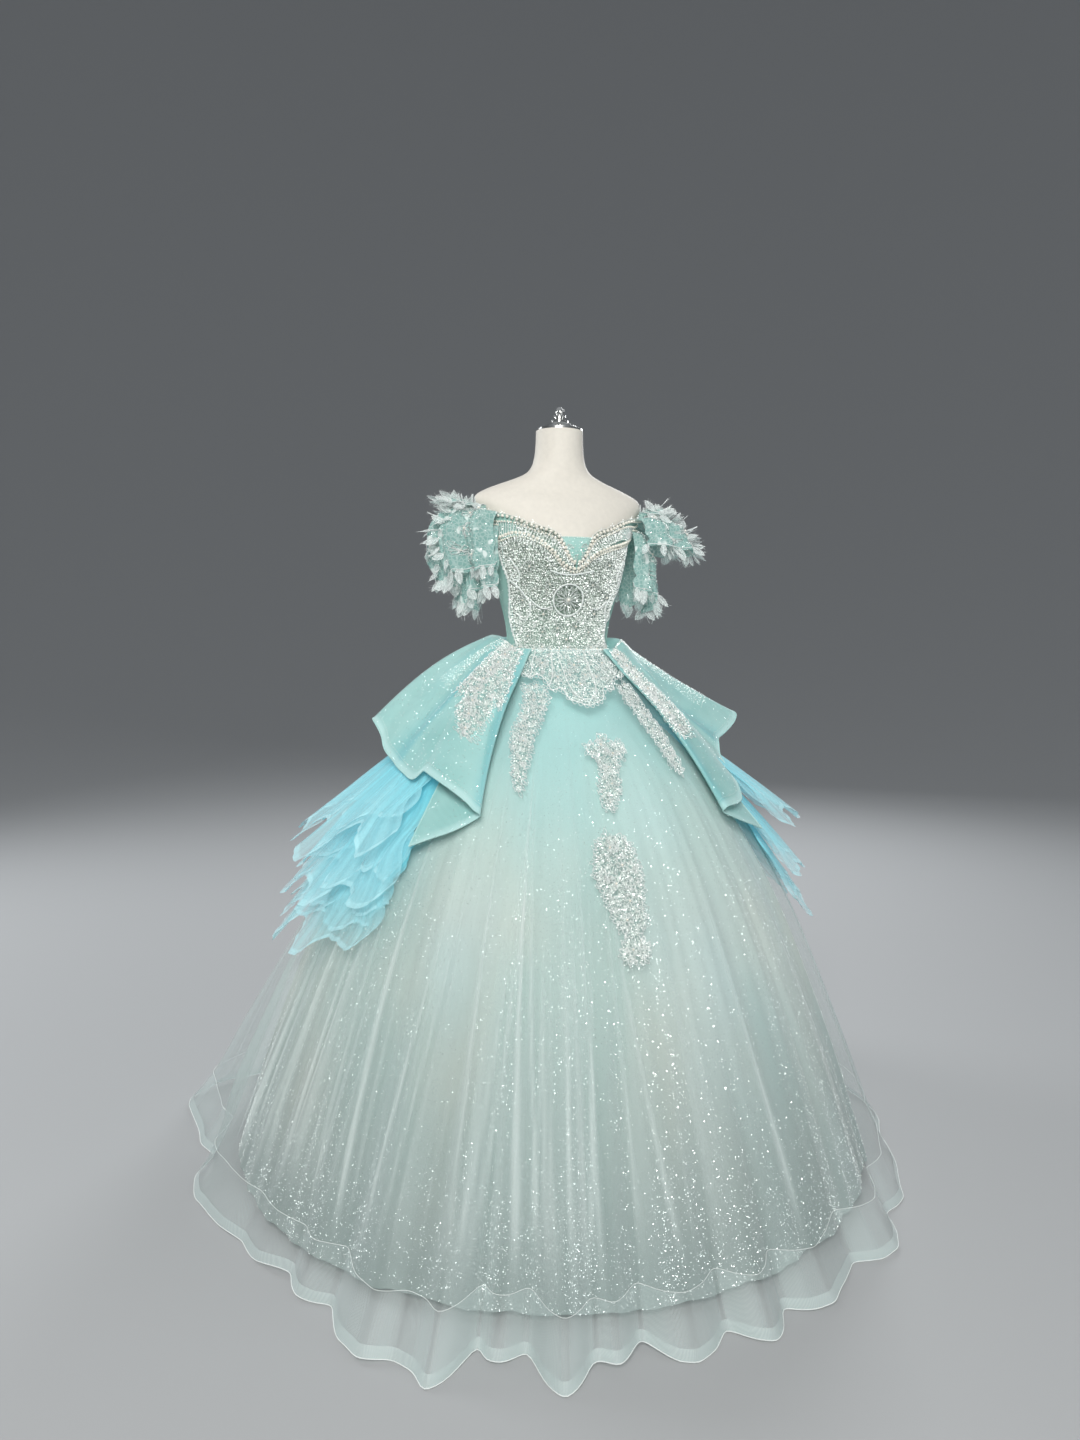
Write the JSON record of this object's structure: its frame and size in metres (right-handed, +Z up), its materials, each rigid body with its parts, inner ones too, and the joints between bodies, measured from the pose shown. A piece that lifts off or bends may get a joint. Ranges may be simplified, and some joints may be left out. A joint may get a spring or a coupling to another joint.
{
  "type": "ball gown on a dress form",
  "caption": "Full-length off-the-shoulder ball gown with a beaded lace bodice, hip drapes, tulle ruffles and a sheer fluted overskirt, on a limbless dress form with a round base.",
  "frame": {"origin": "on the floor under the centre of the dress form's pole and base", "axes": "+Z up the form's pole; the gown's front faces -Y; +X is on the right when looking at the front"},
  "size_m": [1.6491, 1.682, 1.661],
  "materials": {
    "tulle_pale": "sheer pale mint tulle in soft gathers",
    "glitter_cloth": "pale mint net with glued silver glitter",
    "horsehair_braid": "sheer stiff nylon braid with a bound edge",
    "aqua_organza": "crisp aqua organza with a soft sheen",
    "blue_tulle": "sheer bright blue tulle in layers",
    "beaded_lace": "lace covered with silver beads and white cord",
    "lace_flounce": "aqua organza with white embroidered leaf edges",
    "form_cover": "smooth warm white cloth cover",
    "polished_metal": "polished silver metal"
  },
  "bodies": {
    "root": {"form_torso": "form_cover", "form_finial": "polished_metal", "form_pole": "polished_metal", "form_base": "polished_metal", "bodice_front": "beaded_lace", "bodice_side_l": "aqua_organza", "bodice_side_r": "aqua_organza", "bodice_back_l": "aqua_organza", "bodice_back_r": "aqua_organza", "bodice_insert": "aqua_organza", "back_placket": "aqua_organza", "neckband_l": "beaded_lace", "neckband_r": "beaded_lace", "sleeve_frill_l": "lace_flounce", "sleeve_frill_r": "lace_flounce", "sleeve_upper_l": "lace_flounce", "sleeve_upper_r": "lace_flounce", "sleeve_lower_l": "lace_flounce", "sleeve_lower_r": "lace_flounce", "skirt_lining": "glitter_cloth", "skirt_overlay": "tulle_pale", "hem_braid": "horsehair_braid", "basque": "beaded_lace", "basque_tail_l": "beaded_lace", "basque_tail_r": "beaded_lace", "applique_upper": "beaded_lace", "applique_lower": "beaded_lace", "peplum_l": "aqua_organza", "peplum_r": "aqua_organza", "peplum_lace_l": "beaded_lace", "peplum_lace_r": "beaded_lace", "ruffle_low_l": "blue_tulle", "ruffle_low_r": "blue_tulle", "ruffle_mid_l": "blue_tulle", "ruffle_mid_r": "blue_tulle", "ruffle_top_l": "blue_tulle", "ruffle_top_r": "blue_tulle"}
  },
  "joints": []
}
